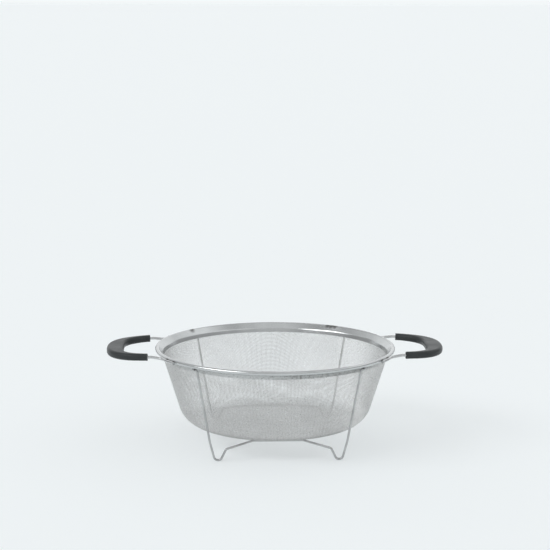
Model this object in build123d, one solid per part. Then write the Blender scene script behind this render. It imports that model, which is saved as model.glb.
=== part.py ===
from build123d import *
import math
import os

# Round mesh basket strainer: a rolled steel rim, a woven-wire bowl, two wire loop handles with
# moulded rubber grips and two bent-wire stands.
# Millimetres, +Z up.  The origin is the bowl axis on the surface the feet stand on;
# the handles lie along X and the two stands run parallel to X, in front (-Y) and behind (+Y).

os.makedirs("parts", exist_ok=True)

# ---------- driving dimensions ----------
rim_diameter = 280.0          # over the rolled edge
rim_height = 113.0            # top of the rim above the feet
sheet = 0.6                   # thickness of the rim band
curl_diameter = 4.8           # outside of the rolled edge
curl_turn = 300.0             # degrees the edge is rolled through
lip_bottom_drop = 10.6        # bottom of the inner lip below the rim top
lip_corner_drop = 6.5         # where the lines of flange and lip meet, below the rim top
lip_bend_radius = 3.0         # centre line of the sheet, between flange and lip

mesh_thickness = 0.8          # two crossing wires
wall_top_radius = 132.2       # outside of the mesh where it starts behind the lip
wall_top_drop = 7.4           # its top edge below the rim top, just under the lip's bend
wall_slope = 17.3             # degrees from vertical
corner_radius = 29.5          # outside, wall to bottom
bottom_height = 21.4          # underside of the flat bottom above the feet

handle_wire = 3.2             # wire diameter
handle_length = 392.0         # over both grips
handle_arm_y = 52.0           # half distance between the two arms of a handle
handle_rim_angle = -12.0      # where the wire touches the rolled edge, seen in section
handle_end_azimuth = 34.0     # degrees from X, cut end of the wire on the rim
handle_bend_azimuth = 26.0    # degrees from X, where the wire leaves the rim
handle_run_out = 8.6          # straight on from there to the corner of the arm
handle_corner_radius = 8.0    # bend at that corner
arm_bend_radius = 20.0        # bend just before the grip
arm_bend_length = 5.0         # how far before the grip it is
arm_splay = 0.6               # how much further out the arm is there
grip_start_x = 147.5
grip_end_width = 8.2
grip_apex_width = 19.8
grip_height = 8.8
grip_rise = -1.8              # arm height at the grip end, from the rim top
grip_tip_rise = -3.0          # and at the tip
grip_cup_radius, grip_cup_depth = 2.9, 1.6        # hollow round the wire at each end

stand_wire = 2.5              # wire diameter
stand_top_x = 91.4            # where a leg reaches the rim
stand_end_x = 96.0            # cut end of the wire under the rolled edge
stand_end_inset = 1.1         # how far inside the rolled edge's centre line it lies
stand_foot_y = 92.0           # half distance between the two stands on the floor
shin_x, shin_height = 77.4, 23.0      # where a leg turns in towards its foot
foot_x = 68.2                 # middle of a foot
foot_outer, foot_inner = 3.6, 3.0     # from there to the corners of the foot's bends
kink_x, kink_height = 59.0, 14.1      # where the wire turns in under the bowl
bridge_x = 28.0               # half length of the run that carries the bowl
bridge_y = 80.0               # that run lies under the flat bottom
top_bend_radius, shin_bend_radius, foot_bend_radius = 2.6, 90.0, 4.5
kink_bend_radius, bridge_bend_radius = 2.6, 8.0

handle_bead_radius, stand_bead_radius = 1.15, 1.1
bead_from_end = 2.0           # stand beads, from the cut end of the wire along X

clearance = 0.05              # between pieces that touch

# ---------- derived ----------
rim_radius = rim_diameter / 2
curl_radius = curl_diameter / 2
curl_centre = (rim_radius - curl_radius, rim_height - curl_radius)
slope = math.radians(wall_slope)
wall_top_height = rim_height - wall_top_drop


def at_azimuth(radius, degrees, height):
    a = math.radians(degrees)
    return Vector(radius * math.cos(a), radius * math.sin(a), height)


def mirror_x(point):
    return Vector(-point.X, point.Y, point.Z)


def mirror_y(point):
    return Vector(point.X, -point.Y, point.Z)


def rounded_edges(points, radii):
    """Straight runs through the points, each inner corner bent to its own radius."""
    points = [Vector(*p) if isinstance(p, tuple) else p for p in points]
    edges, start = [], points[0]
    for i, radius in enumerate(radii, start=1):
        before = (points[i] - points[i - 1]).normalized()
        after = (points[i + 1] - points[i]).normalized()
        half_turn = math.acos(max(-1, min(1, before.dot(after)))) / 2
        inward = (after - before).normalized()
        cut = radius * math.tan(half_turn)
        arc_start = points[i] - before * cut
        arc_end = points[i] + after * cut
        arc_middle = points[i] + inward * (radius / math.cos(half_turn) - radius)
        edges += [Line(start, arc_start), ThreePointArc(arc_start, arc_middle, arc_end)]
        start = arc_end
    return edges + [Line(start, points[-1])]


def bent_wire(edges, diameter):
    path = Wire(edges)
    return sweep(Plane(origin=path @ 0, z_dir=path % 0) * Circle(diameter / 2), path=path)


# ---------- rim band: inner lip, flared flange and rolled outer edge, one sheet ----------
def wall_outside_at(z):
    """Outside radius of the mesh wall at a height."""
    return wall_top_radius - (wall_top_height - z) * math.tan(slope)


lip_offset = (mesh_thickness + clearance + sheet / 2) / math.cos(slope)
corner_z = rim_height - lip_corner_drop
lip_z = rim_height - lip_bottom_drop
lip_corner = Vector(wall_outside_at(corner_z) - lip_offset, corner_z)
lip_bottom = Vector(wall_outside_at(lip_z) - lip_offset, lip_z)

roll = curl_radius - sheet / 2
to_curl = Vector(*curl_centre) - lip_corner
flange_angle = math.atan2(to_curl.Y, to_curl.X) + math.asin(roll / to_curl.length)
roll_start = math.degrees(flange_angle) + 90
flange_end = Vector(*curl_centre) + Vector(math.cos(math.radians(roll_start)),
                                           math.sin(math.radians(roll_start))) * roll
band_line = Wire(rounded_edges([lip_bottom, lip_corner, flange_end], [lip_bend_radius])
                 + [CenterArc(curl_centre, roll, roll_start, -curl_turn)])
band_section = make_face(band_line.offset_2d(sheet / 2, side=Side.BOTH, closed=True))
rim_band = revolve(Plane.XZ * band_section, Axis.Z)

# ---------- mesh bowl: closed thin shell over a straight wall, round corner and flat bottom ----------
corner_z_centre = bottom_height + corner_radius
corner_r_centre = (wall_outside_at(corner_z_centre - corner_radius * math.sin(slope))
                   - corner_radius * math.cos(slope))


def bowl_line(offset, top):
    """Half section of the bowl surface, moved inwards from the outside by the offset."""
    radius = corner_radius - offset
    wall = Vector(wall_outside_at(top) - offset / math.cos(slope), top)
    tangent = Vector(corner_r_centre + radius * math.cos(slope),
                     corner_z_centre - radius * math.sin(slope))
    middle_angle = -(math.pi / 2 + slope) / 2
    middle = Vector(corner_r_centre + radius * math.cos(middle_angle),
                    corner_z_centre + radius * math.sin(middle_angle))
    floor = bottom_height + offset
    return [Line(wall, tangent), ThreePointArc(tangent, middle, (corner_r_centre, floor)),
            Line((corner_r_centre, floor), (0, floor))]


outside = bowl_line(0, wall_top_height)
inside = bowl_line(mesh_thickness, wall_top_height)
bowl_section = make_face(outside + inside + [Line(outside[0] @ 0, inside[0] @ 0),
                                             Line(outside[2] @ 1, inside[2] @ 1)])
mesh_bowl = revolve(Plane.XZ * bowl_section, Axis.Z)

# ---------- handle: one wire lying on the rolled edge, running out and round in a U ----------
touch = math.radians(handle_rim_angle)
reach = curl_radius + handle_wire / 2 + clearance
rim_wire_radius = curl_centre[0] + reach * math.cos(touch)
rim_wire_height = curl_centre[1] + reach * math.sin(touch)

tip_x = (handle_length - grip_apex_width) / 2
arm_height = rim_height + grip_rise
tip_height = rim_height + grip_tip_rise


def loop_point(x, y):
    share = (x - grip_start_x) / (tip_x - grip_start_x)
    return Vector(x, y, arm_height + (tip_height - arm_height) * share)


bend = at_azimuth(rim_wire_radius, handle_bend_azimuth, rim_wire_height)
bend_direction = Vector(math.sin(math.radians(handle_bend_azimuth)),
                        -math.cos(math.radians(handle_bend_azimuth)), 0)
arm_end = loop_point(grip_start_x, handle_arm_y)
arm_lift = loop_point(grip_start_x - arm_bend_length, handle_arm_y + arm_splay)
arm_corner = bend + bend_direction * handle_run_out
arm_direction = (arm_end - arm_lift).normalized()
half_loop = [loop_point(x, y) for x, y in
             ((157.0, 49.8), (166.0, 45.8), (175.3, 38.8), (182.3, 27.8), (185.6, 14.0))]
loop_points = ([arm_end] + half_loop + [loop_point(tip_x, 0)]
               + [mirror_y(p) for p in reversed(half_loop)] + [mirror_y(arm_end)])
back_direction = Vector(-arm_direction.X, arm_direction.Y, -arm_direction.Z)
loop = Spline(loop_points, tangents=[arm_direction, back_direction])

rim_arc = ThreePointArc(
    at_azimuth(rim_wire_radius, handle_end_azimuth, rim_wire_height),
    at_azimuth(rim_wire_radius, (handle_end_azimuth + handle_bend_azimuth) / 2, rim_wire_height),
    bend)
arm = [rim_arc] + rounded_edges([bend, arm_corner, arm_lift, arm_end],
                                [handle_corner_radius, arm_bend_radius])
far_arm = [edge.mirror(Plane.XZ) for edge in arm]
handle_wire_right = bent_wire(arm + [loop] + far_arm, handle_wire)
handle_wire_left = handle_wire_right.mirror(Plane.YZ)

# ---------- grip: rubber moulded over the loop, round at the ends, broad and flat at the tip ----------
sections = []
for i in range(13):
    t = i / 12
    swell = math.sin(math.pi * t) ** 2
    width = grip_end_width + (grip_apex_width - grip_end_width) * swell
    height = grip_end_width + (grip_height - grip_end_width) * swell
    corner = 0.47 * height - 0.9 * swell
    along = loop % t
    across = Vector(along.Y, -along.X, 0).normalized()
    sections.append(Plane(origin=loop @ t, x_dir=across, z_dir=along)
                    * RectangleRounded(width, height, corner))
grip_body = loft(sections)
wire_bore = bent_wire([arm[-1], loop, far_arm[-1]], handle_wire + 2 * clearance)
cup = Cone(grip_cup_radius, handle_wire / 2 + 0.1, grip_cup_depth,
           align=(Align.CENTER, Align.CENTER, Align.MIN))
near_cup = Plane(origin=loop @ 0, z_dir=loop % 0) * cup
far_cup = near_cup.mirror(Plane.XZ)
grip_right = grip_body - wire_bore - near_cup - far_cup
grip_left = grip_right.mirror(Plane.YZ)

# ---------- stand: one wire from rim to rim, bent into two feet and a bridge under the bowl ----------
stand_end_radius = curl_centre[0] - stand_end_inset
stand_drop = math.sqrt((curl_radius + stand_wire / 2 + clearance) ** 2 - stand_end_inset ** 2)
stand_top_height = curl_centre[1] - stand_drop
stand_top_y = math.sqrt(stand_end_radius ** 2 - stand_top_x ** 2)
foot_height = stand_wire / 2


def on_stand(x, z):
    share = (z - foot_height) / (stand_top_height - foot_height)
    return Vector(x, -(stand_foot_y + (stand_top_y - stand_foot_y) * share), z)


bridge_height = bottom_height - stand_wire / 2 - clearance
half_stand = [
    Vector(stand_end_x, -math.sqrt(stand_end_radius ** 2 - stand_end_x ** 2), stand_top_height),
    on_stand(stand_top_x, stand_top_height),
    on_stand(shin_x, shin_height),
    on_stand(foot_x + foot_outer, foot_height),
    on_stand(foot_x - foot_inner, foot_height),
    on_stand(kink_x, kink_height),
    Vector(bridge_x, -bridge_y, bridge_height),
]
half_bends = [top_bend_radius, shin_bend_radius, foot_bend_radius, foot_bend_radius,
              kink_bend_radius, bridge_bend_radius]
stand_points = half_stand + [mirror_x(p) for p in reversed(half_stand)]
stand_bends = half_bends + half_bends[::-1]
stand_wire_front = bent_wire(rounded_edges(stand_points, stand_bends), stand_wire)
stand_wire_back = stand_wire_front.mirror(Plane.XZ)

# ---------- weld beads where the wires lie on the rolled edge ----------
rim_curl = revolve(Plane.XZ * (Pos(*curl_centre) * Circle(curl_radius)), Axis.Z)


def handle_bead(azimuth):
    notch = math.radians(handle_rim_angle + 22)
    r = curl_centre[0] + (curl_radius + 0.45) * math.cos(notch)
    z = curl_centre[1] + (curl_radius + 0.45) * math.sin(notch)
    ball = Pos(at_azimuth(r, azimuth, z)) * Sphere(handle_bead_radius)
    return ball - handle_wire_right - rim_curl


def stand_bead(x):
    y = -math.sqrt((curl_centre[0] + 0.9) ** 2 - x ** 2)
    ball = Pos(x, y, curl_centre[1] - curl_radius - 0.5) * Sphere(stand_bead_radius)
    return ball - stand_wire_front - rim_curl


quarter = [handle_bead(handle_end_azimuth - 1.0), handle_bead(handle_bend_azimuth + 1.0)]
right_beads = quarter + [b.mirror(Plane.XZ) for b in quarter]
handle_weld_beads = Compound(children=right_beads + [b.mirror(Plane.YZ) for b in right_beads])
front_beads = [stand_bead(stand_end_x - bead_from_end)]
front_beads += [b.mirror(Plane.YZ) for b in front_beads]
stand_weld_beads = Compound(children=front_beads + [b.mirror(Plane.XZ) for b in front_beads])

# ---------- write the pieces ----------
pieces = {
    "rim_band": rim_band,
    "mesh_bowl": mesh_bowl,
    "handle_wire_left": handle_wire_left,
    "handle_wire_right": handle_wire_right,
    "grip_left": grip_left,
    "grip_right": grip_right,
    "stand_wire_front": stand_wire_front,
    "stand_wire_back": stand_wire_back,
    "handle_weld_beads": handle_weld_beads,
    "stand_weld_beads": stand_weld_beads,
}
for name, shape in pieces.items():
    export_step(shape, f"parts/{name}.step")
    box = shape.bounding_box()
    print(name, len(shape.solids()), "solid(s)", round(shape.volume, 1), "mm3",
          "x %.1f..%.1f y %.1f..%.1f z %.1f..%.1f" % (box.min.X, box.max.X, box.min.Y,
                                                      box.max.Y, box.min.Z, box.max.Z))
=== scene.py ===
import math

import bpy
import numpy as np
from mathutils import Matrix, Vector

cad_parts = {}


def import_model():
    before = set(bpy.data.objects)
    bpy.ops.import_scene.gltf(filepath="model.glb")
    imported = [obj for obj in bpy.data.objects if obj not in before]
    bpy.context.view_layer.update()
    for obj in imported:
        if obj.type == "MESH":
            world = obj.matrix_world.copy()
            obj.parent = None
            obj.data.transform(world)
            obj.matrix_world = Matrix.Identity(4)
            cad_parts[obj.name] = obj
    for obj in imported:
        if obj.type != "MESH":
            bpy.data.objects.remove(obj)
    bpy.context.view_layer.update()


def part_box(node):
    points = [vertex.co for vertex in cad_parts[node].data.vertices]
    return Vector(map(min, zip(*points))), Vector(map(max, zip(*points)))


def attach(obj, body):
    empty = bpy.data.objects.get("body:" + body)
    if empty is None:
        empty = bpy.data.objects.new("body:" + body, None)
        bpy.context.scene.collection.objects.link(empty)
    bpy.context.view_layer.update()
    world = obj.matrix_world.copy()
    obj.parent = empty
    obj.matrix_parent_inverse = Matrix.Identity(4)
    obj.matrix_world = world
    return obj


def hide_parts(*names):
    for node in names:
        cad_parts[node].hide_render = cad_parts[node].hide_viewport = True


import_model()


# ---------------------------------------------------------------- materials

def new_material(name):
    """A material with one Principled shader; returns the material, its node tree and that shader."""
    material = bpy.data.materials.new(name)
    material.use_nodes = True
    tree = material.node_tree
    tree.nodes.clear()
    output = tree.nodes.new("ShaderNodeOutputMaterial")
    shader = tree.nodes.new("ShaderNodeBsdfPrincipled")
    tree.links.new(shader.outputs["BSDF"], output.inputs["Surface"])
    return material, tree, shader


def math_node(tree, operation, a, b=None):
    """One Math node on sockets or numbers."""
    node = tree.nodes.new("ShaderNodeMath")
    node.operation = operation
    for socket, value in zip(node.inputs, (a, b)):
        if value is None:
            continue
        if isinstance(value, (int, float)):
            socket.default_value = value
        else:
            tree.links.new(value, socket)
    return node.outputs[0]


def object_position(tree):
    return tree.nodes.new("ShaderNodeTexCoord").outputs["Object"]


def components(tree, vector):
    """The X, Y and Z sockets of a vector."""
    split = tree.nodes.new("ShaderNodeSeparateXYZ")
    tree.links.new(vector, split.inputs[0])
    return split.outputs


def axis_distance(tree, x, y):
    """How far a point is from the bowl's axis."""
    return math_node(tree, "SQRT", math_node(tree, "ADD", math_node(tree, "MULTIPLY", x, x),
                                             math_node(tree, "MULTIPLY", y, y)))


def round_the_bowl(tree, across, along):
    """Coordinates that run round the bowl's axis: fine across the band, stretched along it."""
    x, y, z = components(tree, object_position(tree))
    join = tree.nodes.new("ShaderNodeCombineXYZ")
    tree.links.new(math_node(tree, "MULTIPLY", axis_distance(tree, x, y), across), join.inputs[0])
    tree.links.new(math_node(tree, "MULTIPLY", z, across), join.inputs[1])
    tree.links.new(math_node(tree, "MULTIPLY", math_node(tree, "ARCTAN2", y, x), along), join.inputs[2])
    return join.outputs[0]


def noise(tree, vector, scale, detail=3.0, roughness=0.55):
    """A cloudy 0..1 pattern."""
    node = tree.nodes.new("ShaderNodeTexNoise")
    node.inputs["Scale"].default_value = scale
    node.inputs["Detail"].default_value = detail
    node.inputs["Roughness"].default_value = roughness
    tree.links.new(vector, node.inputs["Vector"])
    return node.outputs["Fac"]


def spread(tree, value, low, high, start=0.3, end=0.7):
    """Maps a value between start and end onto low..high, and holds it there beyond them."""
    node = tree.nodes.new("ShaderNodeMapRange")
    for name, number in (("From Min", start), ("From Max", end), ("To Min", low), ("To Max", high)):
        node.inputs[name].default_value = number
    tree.links.new(value, node.inputs["Value"])
    return node.outputs["Result"]


def colours(tree, value, *stops):
    """A colour ramp through (place, colour) stops."""
    node = tree.nodes.new("ShaderNodeValToRGB")
    ramp = node.color_ramp
    while len(ramp.elements) < len(stops):
        ramp.elements.new(0.5)
    for element, (place, colour) in zip(ramp.elements, stops):
        element.position = place
        element.color = (*colour, 1.0)
    tree.links.new(value, node.inputs["Fac"])
    return node.outputs["Color"]


def blend(tree, share, first, second):
    """Mixes two colours, each a socket or a plain colour."""
    node = tree.nodes.new("ShaderNodeMix")
    node.data_type = "RGBA"
    tree.links.new(share, node.inputs[0])
    for socket, colour in zip((socket for socket in node.inputs if socket.type == "RGBA"), (first, second)):
        if isinstance(colour, tuple):
            socket.default_value = (*colour, 1.0)
        else:
            tree.links.new(colour, socket)
    return next(socket for socket in node.outputs if socket.type == "RGBA")


def bump(tree, height, depth, strength=1.0):
    """A surface normal tilted by a 0..1 height pattern of the given depth."""
    node = tree.nodes.new("ShaderNodeBump")
    node.inputs["Strength"].default_value = strength
    node.inputs["Distance"].default_value = depth
    tree.links.new(height, node.inputs["Height"])
    return node.outputs["Normal"]


crest_radius, crest_height = 0.1365, 0.1125
burnt_core = 0.0014           # radius of a spot's darkest part
# azimuth in degrees and reach: one over a stand weld, and three in a row where the strip was joined
burnt_spots = ((135.8, 0.0056), (58.4, 0.0046), (56.5, 0.0052), (54.4, 0.0044))


def heat_marks(tree):
    """Burnt spots on the crest of the band."""
    marks = None
    for degrees, reach in burnt_spots:
        azimuth = math.radians(degrees)
        spot = tree.nodes.new("ShaderNodeVectorMath")
        spot.operation = "DISTANCE"
        spot.inputs[1].default_value = (crest_radius * math.cos(azimuth), crest_radius * math.sin(azimuth),
                                        crest_height)
        tree.links.new(object_position(tree), spot.inputs[0])
        mark = spread(tree, spot.outputs["Value"], 0.92, 0.0, burnt_core, reach)
        marks = math_node(tree, "MAXIMUM", marks, mark) if marks else mark
    return marks


seam_edge = (0.1325, 0.1335)       # the painted highlight and painted shade under the band end between these radii
seam_highlight_x = (-0.05, 0.015)     # the painted highlight is at the left and fades over this stretch
seam_shade_x = (-0.03, 0.025)    # the painted shade is at the right, deeper and deeper over this one
# scale of the dots that break up the painted shade
shade_dot_scale = 260.0


def seam_painted_light_and_shade(tree):
    """The share of painted highlight and of painted shade where the cloth meets the underside of the band."""
    x, y, z = components(tree, object_position(tree))
    facing = components(tree, tree.nodes.new("ShaderNodeTexCoord").outputs["Normal"])[2]
    under = math_node(tree, "MULTIPLY", spread(tree, facing, 1.0, 0.0, -0.2, 0.0),
                      spread(tree, axis_distance(tree, x, y), 1.0, 0.0, *seam_edge))
    spots = spread(tree, noise(tree, object_position(tree), shade_dot_scale, 1.0), 0.0, 0.75, 0.5, 0.64)
    bright = spread(tree, x, 1.0, 0.0, *seam_highlight_x)
    burns_and_painted_shade = spread(tree, x, 0.0, 1.0, *seam_shade_x)
    return (math_node(tree, "MULTIPLY", under, bright),
            math_node(tree, "MULTIPLY", under, math_node(tree, "MULTIPLY", spots, burns_and_painted_shade)))


def polished_rim_steel():
    """Polished stainless sheet with hairline scratches round the band and burn marks at its welds, with a
    painted highlight and painted shade under the band where the cloth meets it.
    """
    material, tree, shader = new_material("rim_steel")
    hairlines = noise(tree, round_the_bowl(tree, 9000.0, 14.0), 1.0, 2.0)
    cloud = noise(tree, object_position(tree), 38.0, 3.0)
    steel_and_highlight = colours(tree, cloud, (0.3, (0.545, 0.558, 0.562)), (0.7, (0.615, 0.628, 0.63)))
    burn_and_shade_tone = colours(tree, cloud, (0.3, (0.10, 0.098, 0.096)), (0.7, (0.17, 0.166, 0.163)))
    bright, burns_and_painted_shade = seam_painted_light_and_shade(tree)
    # painted highlight: the underside is lightened towards this pale grey at the left
    steel_and_highlight = blend(tree, bright, steel_and_highlight, (0.86, 0.875, 0.88))
    # the painted shade at the right and the real burn marks darken towards one tone
    burns_and_painted_shade = math_node(tree, "MAXIMUM", heat_marks(tree), burns_and_painted_shade)
    tree.links.new(blend(tree, burns_and_painted_shade, steel_and_highlight, burn_and_shade_tone), shader.inputs["Base Color"])
    tree.links.new(spread(tree, hairlines, 0.13, 0.24), shader.inputs["Roughness"])
    tree.links.new(bump(tree, hairlines, 0.000012), shader.inputs["Normal"])
    shader.inputs["Metallic"].default_value = 1.0
    return material


def drawn_wire_steel(name, dull, bright):
    """Drawn wire: fine grained and slightly mottled between a dull and a bright grey."""
    material, tree, shader = new_material(name)
    grain = noise(tree, object_position(tree), 1400.0, 3.0)
    cloud = noise(tree, object_position(tree), 90.0, 2.0)
    greys = [(place, (level, level * 1.01, level * 1.015)) for place, level in ((0.3, dull), (0.7, bright))]
    tree.links.new(colours(tree, cloud, *greys), shader.inputs["Base Color"])
    tree.links.new(spread(tree, grain, 0.16, 0.3), shader.inputs["Roughness"])
    tree.links.new(bump(tree, grain, 0.00001), shader.inputs["Normal"])
    shader.inputs["Metallic"].default_value = 1.0
    return material


def weld_bead_steel():
    """Welds: dark steel with straw and blue heat colours in patches."""
    material, tree, shader = new_material("weld_steel")
    patch = noise(tree, object_position(tree), 900.0, 2.0)
    tree.links.new(colours(tree, patch, (0.3, (0.075, 0.074, 0.073)), (0.5, (0.13, 0.125, 0.12)),
                           (0.7, (0.10, 0.101, 0.105))), shader.inputs["Base Color"])
    tree.links.new(spread(tree, patch, 0.35, 0.5), shader.inputs["Roughness"])
    tree.links.new(bump(tree, patch, 0.00008), shader.inputs["Normal"])
    shader.inputs["Metallic"].default_value = 1.0
    return material


def grip_rubber():
    """Charcoal soft-touch grip: satin, with a fine moulded grain and faint handling polish."""
    material, tree, shader = new_material("grip_rubber")
    grain = noise(tree, object_position(tree), 2600.0, 4.0, 0.65)
    wear = noise(tree, object_position(tree), 55.0, 3.0)
    tree.links.new(colours(tree, wear, (0.3, (0.040, 0.0434, 0.0444)), (0.7, (0.053, 0.0572, 0.0585))),
                   shader.inputs["Base Color"])
    tree.links.new(spread(tree, wear, 0.28, 0.40), shader.inputs["Roughness"])
    tree.links.new(bump(tree, grain, 0.00004, 0.6), shader.inputs["Normal"])
    shader.inputs["Specular IOR Level"].default_value = 0.12
    return material


corner_shade_from, corner_shade_to = (0.0220, 0.0228), (0.0262, 0.0300)     # heights between which painted shade darkens the cloth at the bowl's corner


def woven_wire_steel():
    """Fine bright wire in cloudy patches, with a faint grain, and darkened by painted shade low in the bowl's
    corner.
    """
    material, tree, shader = new_material("mesh_steel")
    cloud = noise(tree, object_position(tree), 30.0, 3.0)
    grain = noise(tree, object_position(tree), 420.0, 2.0)
    patchy = colours(tree, cloud, (0.3, (0.70, 0.70, 0.695)), (0.7, (0.80, 0.80, 0.795)))
    streak_and_shade_tone = colours(tree, cloud, (0.3, (0.54, 0.54, 0.535)), (0.7, (0.62, 0.62, 0.615)))
    height = components(tree, object_position(tree))[2]
    # painted shade: the cloth turns to the darker tone over the lower part of the corner
    pressed = math_node(tree, "MULTIPLY", spread(tree, height, 0.0, 1.0, *corner_shade_from),
                        spread(tree, height, 1.0, 0.0, *corner_shade_to))
    dull = math_node(tree, "MAXIMUM", spread(tree, grain, 0.0, 1.0, 0.55, 0.8), pressed)
    tree.links.new(blend(tree, dull, patchy, streak_and_shade_tone), shader.inputs["Base Color"])
    tree.links.new(spread(tree, grain, 0.24, 0.38), shader.inputs["Roughness"])
    shader.inputs["Metallic"].default_value = 1.0
    return material


rim_steel, weld_steel = polished_rim_steel(), weld_bead_steel()
handle_steel = drawn_wire_steel("handle_steel", 0.50, 0.62)
# the stands get a darker copy of the handles' wire steel: painted shade
shaded_stand_steel = drawn_wire_steel("shaded_stand_steel", 0.42, 0.53)
rubber, mesh_steel = grip_rubber(), woven_wire_steel()
finishes = {
    "rim_band": rim_steel,
    "handle_wire_left": handle_steel, "handle_wire_right": handle_steel,
    "stand_wire_front": shaded_stand_steel, "stand_wire_back": shaded_stand_steel,
    "handle_weld_beads": weld_steel, "stand_weld_beads": weld_steel,
    "grip_left": rubber, "grip_right": rubber,
}
for node_name, material in finishes.items():
    for slot in bpy.data.objects[node_name].material_slots:
        slot.material = material


# ---------------------------------------------------------------- woven wire bowl

cloth_pitch = 0.0017          # between neighbouring wires in the flat cloth
cloth_wire = 0.00037          # wire diameter
cloth_thickness = 0.0008      # of the CAD shell that the cloth fills
cloth_tuck = 0.0010           # how far its cut edge runs on under the flange
wall_slope = math.radians(17.3)    # of the bowl's wall from the vertical
corner_radius = 0.0295        # outside of the shell
shear = 0.25                  # how far the cloth shears in the four diagonal directions
stretch = 0.10                # how much it is drawn up there
tube_overlap = 1.11           # a square tube's corners stand out, so that it looks as wide as a round wire
pieces_per_direction = 3

low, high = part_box("mesh_bowl")
middle = cloth_thickness / 2
top_z, bottom_z = high.z + cloth_tuck, low.z + middle
corner = corner_radius - middle
corner_z = bottom_z + corner
corner_r = (high.x - middle / math.cos(wall_slope) - corner / math.cos(wall_slope)
            - (high.z - corner_z) * math.tan(wall_slope))
corner_arc = corner * (math.pi / 2 - wall_slope)
wall_foot_z = corner_z - corner * math.sin(wall_slope)
wall_length = (top_z - wall_foot_z) / math.cos(wall_slope)
cloth_radius = corner_r + corner_arc + wall_length


def bowl_surface(along, azimuth):
    """Points and outward normals on the bowl, at a distance along its profile from the centre."""
    turn = np.clip((along - corner_r) / corner, 0.0, math.pi / 2 - wall_slope)
    up_wall = np.clip(along - corner_r - corner_arc, 0.0, None)
    radius = (np.minimum(along, corner_r) + corner * np.sin(turn) + up_wall * math.sin(wall_slope))
    z = corner_z - corner * np.cos(turn) + up_wall * math.cos(wall_slope)
    outward, down = np.sin(turn), -np.cos(turn)
    cos, sin = np.cos(azimuth), np.sin(azimuth)
    return (np.stack([radius * cos, radius * sin, z], -1),
            np.stack([outward * cos, outward * sin, down], -1))


def drape(u, v):
    """Where a point of the flat cloth lies once it is pressed into the bowl."""
    along, azimuth = np.hypot(u, v), np.arctan2(v, u)
    pressed = np.clip((along - corner_r) / (cloth_radius - corner_r), 0.0, 1.0)
    pressed = pressed * pressed * (3 - 2 * pressed)
    azimuth = azimuth + shear / 4 * pressed * np.sin(4 * azimuth)
    along = along * (1 + stretch * pressed * (1 - np.cos(4 * azimuth)) / 2)
    return along, azimuth


def wire_paths(crosswise):
    """Centre line of every wire of one direction, over and under the wires it crosses."""
    reach = int(cloth_radius / cloth_pitch) + 1
    steps = np.arange(-reach, reach + 1)
    for line in steps:
        u, v = steps * cloth_pitch, np.full(len(steps), line * cloth_pitch)
        if crosswise:
            u, v = v, u
        along, azimuth = drape(u, v)
        inside = np.flatnonzero(along < cloth_radius)
        if len(inside) < 3:
            continue
        over = np.where((steps + line) % 2 == 0, 1.0, -1.0) * (-1.0 if crosswise else 1.0)
        # each end is drawn in from the next crossing to the cut edge
        for end, beyond in ((inside[0], inside[0] - 1), (inside[-1], inside[-1] + 1)):
            if 0 <= beyond < len(steps):
                share = (cloth_radius - along[end]) / (along[beyond] - along[end])
                for values in (along, azimuth, over):
                    values[beyond] = values[end] + share * (values[beyond] - values[end])
        kept = slice(max(inside[0] - 1, 0), inside[-1] + 2)
        points, normals = bowl_surface(along[kept], azimuth[kept])
        yield points + normals * (over[kept] * cloth_wire / 2)[:, None], normals


def wire_mesh(name, paths):
    """All the given wires as one mesh of square-sectioned, smooth-shaded tubes."""
    points, quads, start = [], [], 0
    radius = cloth_wire / 2 * tube_overlap
    for line, normals in paths:
        tangent = np.gradient(line, axis=0)
        tangent /= np.linalg.norm(tangent, axis=1, keepdims=True)
        side = np.cross(tangent, normals)
        side /= np.linalg.norm(side, axis=1, keepdims=True)
        lift = np.cross(side, tangent)
        ring = np.stack([line + radius * (side * math.cos(a) + lift * math.sin(a))
                         for a in (0.0, math.pi / 2, math.pi, 3 * math.pi / 2)], 1)
        count = len(line)
        points.append(ring.reshape(-1, 3))
        first = start + 4 * np.arange(count - 1)[:, None] + np.arange(4)[None, :]
        turned = start + 4 * np.arange(count - 1)[:, None] + (np.arange(4)[None, :] + 1) % 4
        quads.append(np.stack([first, turned, turned + 4, first + 4], -1).reshape(-1, 4))
        last = start + 4 * (count - 1)
        quads.append(np.array([[start + 3, start + 2, start + 1, start],
                               [last, last + 1, last + 2, last + 3]]))
        start += 4 * count
    points, quads = np.concatenate(points), np.concatenate(quads)
    mesh = bpy.data.meshes.new(name)
    mesh.vertices.add(len(points))
    mesh.vertices.foreach_set("co", points.astype(np.float32).ravel())
    mesh.loops.add(quads.size)
    mesh.loops.foreach_set("vertex_index", quads.astype(np.int32).ravel())
    mesh.polygons.add(len(quads))
    mesh.polygons.foreach_set("loop_start", np.arange(0, quads.size, 4, dtype=np.int32))
    mesh.update(calc_edges=True)
    mesh.shade_smooth()
    piece = bpy.data.objects.new(name, mesh)
    bpy.context.collection.objects.link(piece)
    mesh.materials.append(mesh_steel)
    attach(piece, "root")
    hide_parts("mesh_bowl")


for direction, crosswise in (("warp", False), ("weft", True)):
    wires = list(wire_paths(crosswise))
    share = len(wires) // pieces_per_direction + 1
    for part in range(pieces_per_direction):
        wire_mesh(f"mesh_{direction}_{part + 1}", wires[part * share:(part + 1) * share])


# ---------------------------------------------------------------- floor, light and camera

floor_light = (0.84, 0.875, 0.885)     # the lit floor's colour, so that the floor runs into the backdrop
floor_reach = 200.0                    # half its side, which takes it to the horizon


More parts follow.
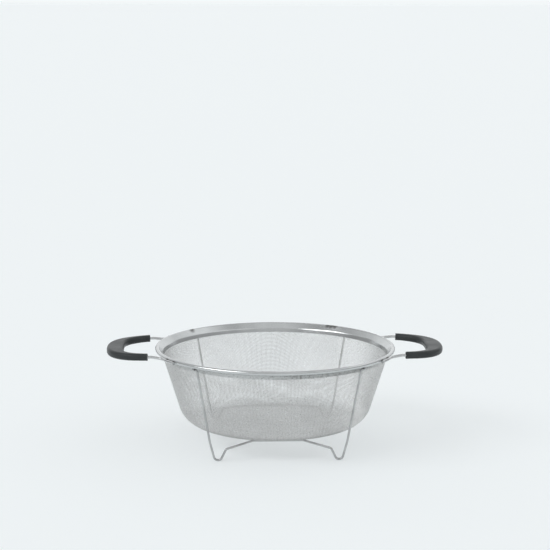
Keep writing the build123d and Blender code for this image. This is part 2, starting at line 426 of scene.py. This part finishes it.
def floor():
    """A pale floor that glows a little, so that it meets the backdrop without an edge."""
    material, tree, shader = new_material("studio_floor")
    shader.inputs["Base Color"].default_value = (0.64, 0.66, 0.667, 1.0)
    shader.inputs["Emission Color"].default_value = (0.95, 0.99, 1.0, 1.0)
    shader.inputs["Emission Strength"].default_value = 0.31
    shader.inputs["Roughness"].default_value = 0.9
    shader.inputs["Specular IOR Level"].default_value = 0.1
    mesh = bpy.data.meshes.new("studio_floor")
    corners = [(floor_reach * x, floor_reach * y, 0) for x, y in ((-1, -1), (1, -1), (1, 1), (-1, 1))]
    mesh.from_pydata(corners, [], [(0, 1, 2, 3)])
    mesh.materials.append(material)
    piece = bpy.data.objects.new("studio_floor", mesh)
    bpy.context.collection.objects.link(piece)


def fade(tree, value, none, full):
    """0 where the value is at or beyond none, 1 where it is at or beyond full."""
    if none < full:
        return spread(tree, value, 0.0, 1.0, none, full)
    return spread(tree, value, 1.0, 0.0, full, none)


# side (-1 left, 1 right), inner and outer azimuth in radians from straight in front, and light
softboxes = ((-1.0, 0.58, 1.64, 3.6), (1.0, 0.30, 1.30, 0.85))
softbox_edge = 0.12           # radians over which a softbox fades out


def world():
    """A pale studio tent: bright behind, greyer on the camera's side, with two softboxes."""
    surroundings = bpy.data.worlds.new("studio")
    bpy.context.scene.world = surroundings
    surroundings.use_nodes = True
    tree = surroundings.node_tree
    tree.nodes.clear()
    output = tree.nodes.new("ShaderNodeOutputWorld")
    back = tree.nodes.new("ShaderNodeBackground")
    split = tree.nodes.new("ShaderNodeSeparateXYZ")
    tree.links.new(tree.nodes.new("ShaderNodeTexCoord").outputs["Generated"], split.inputs[0])
    x, y, z = split.outputs

    def tent(*stops):
        """Light by height, from the floor's own at the horizon up to the zenith."""
        greys = [(place, (level, level * 1.02, level * 1.03)) for place, level in stops]
        return colours(tree, z, (0.0, floor_light), (0.02, floor_light), *greys)

    def both(first, second):
        return math_node(tree, "MULTIPLY", first, second)

    behind = tent((0.08, 0.92), (0.56, 0.84), (0.68, 0.46), (0.86, 0.48), (0.97, 0.70))
    front = tent((0.12, 0.74), (0.45, 0.54), (0.93, 0.72))
    right = tent((0.05, 0.36), (0.34, 0.42), (0.50, 0.80), (0.74, 0.98), (0.86, 0.52), (0.98, 0.64))
    left = tent((0.05, 0.38), (0.34, 0.36), (0.52, 0.68), (0.72, 0.52), (0.84, 0.34), (0.98, 0.64))
    around = blend(tree, fade(tree, y, -0.35, 0.45), front, behind)
    sideways = math_node(tree, "MAXIMUM", fade(tree, y, 0.72, 0.5), fade(tree, z, 0.45, 0.6))
    around = blend(tree, both(fade(tree, x, 0.15, 0.4), sideways), around, right)
    around = blend(tree, both(fade(tree, x, -0.2, -0.45), sideways), around, left)

    towards_camera = math_node(tree, "MULTIPLY", y, -1.0)
    height = both(fade(tree, z, 0.42, 0.50), fade(tree, z, 0.80, 0.74))
    for side, inner, outer, light in softboxes:
        azimuth = math_node(tree, "ARCTAN2", math_node(tree, "MULTIPLY", x, side), towards_camera)
        width = both(fade(tree, azimuth, inner, inner + softbox_edge),
                     fade(tree, azimuth, outer, outer - softbox_edge))
        around = blend(tree, both(height, width), around, (light, light * 1.015, light * 1.025))
    tree.links.new(around, back.inputs["Color"])
    back.inputs["Strength"].default_value = 1.07
    tree.links.new(back.outputs[0], output.inputs[0])


def camera():
    """A long lens in front of the strainer, a little above its rim and turned round it."""
    turned = math.radians(-2.7)
    pitch, roll = math.radians(9.614), math.radians(0.15)
    aside, distance, height = -0.0003, 1.8579, 0.5109
    lens = bpy.data.cameras.new("camera")
    lens.sensor_width = 36.0
    lens.lens = 106.2
    lens.clip_end = 600.0
    holder = bpy.data.objects.new("camera", lens)
    holder.matrix_world = (Matrix.Rotation(turned, 4, "Z") @ Matrix.Translation((aside, -distance, height))
                           @ Matrix.Rotation(math.pi / 2 - pitch, 4, "X") @ Matrix.Rotation(roll, 4, "Z"))
    bpy.context.collection.objects.link(holder)
    bpy.context.scene.camera = holder


floor()
world()
camera()
bpy.context.scene.view_settings.view_transform = "Standard"
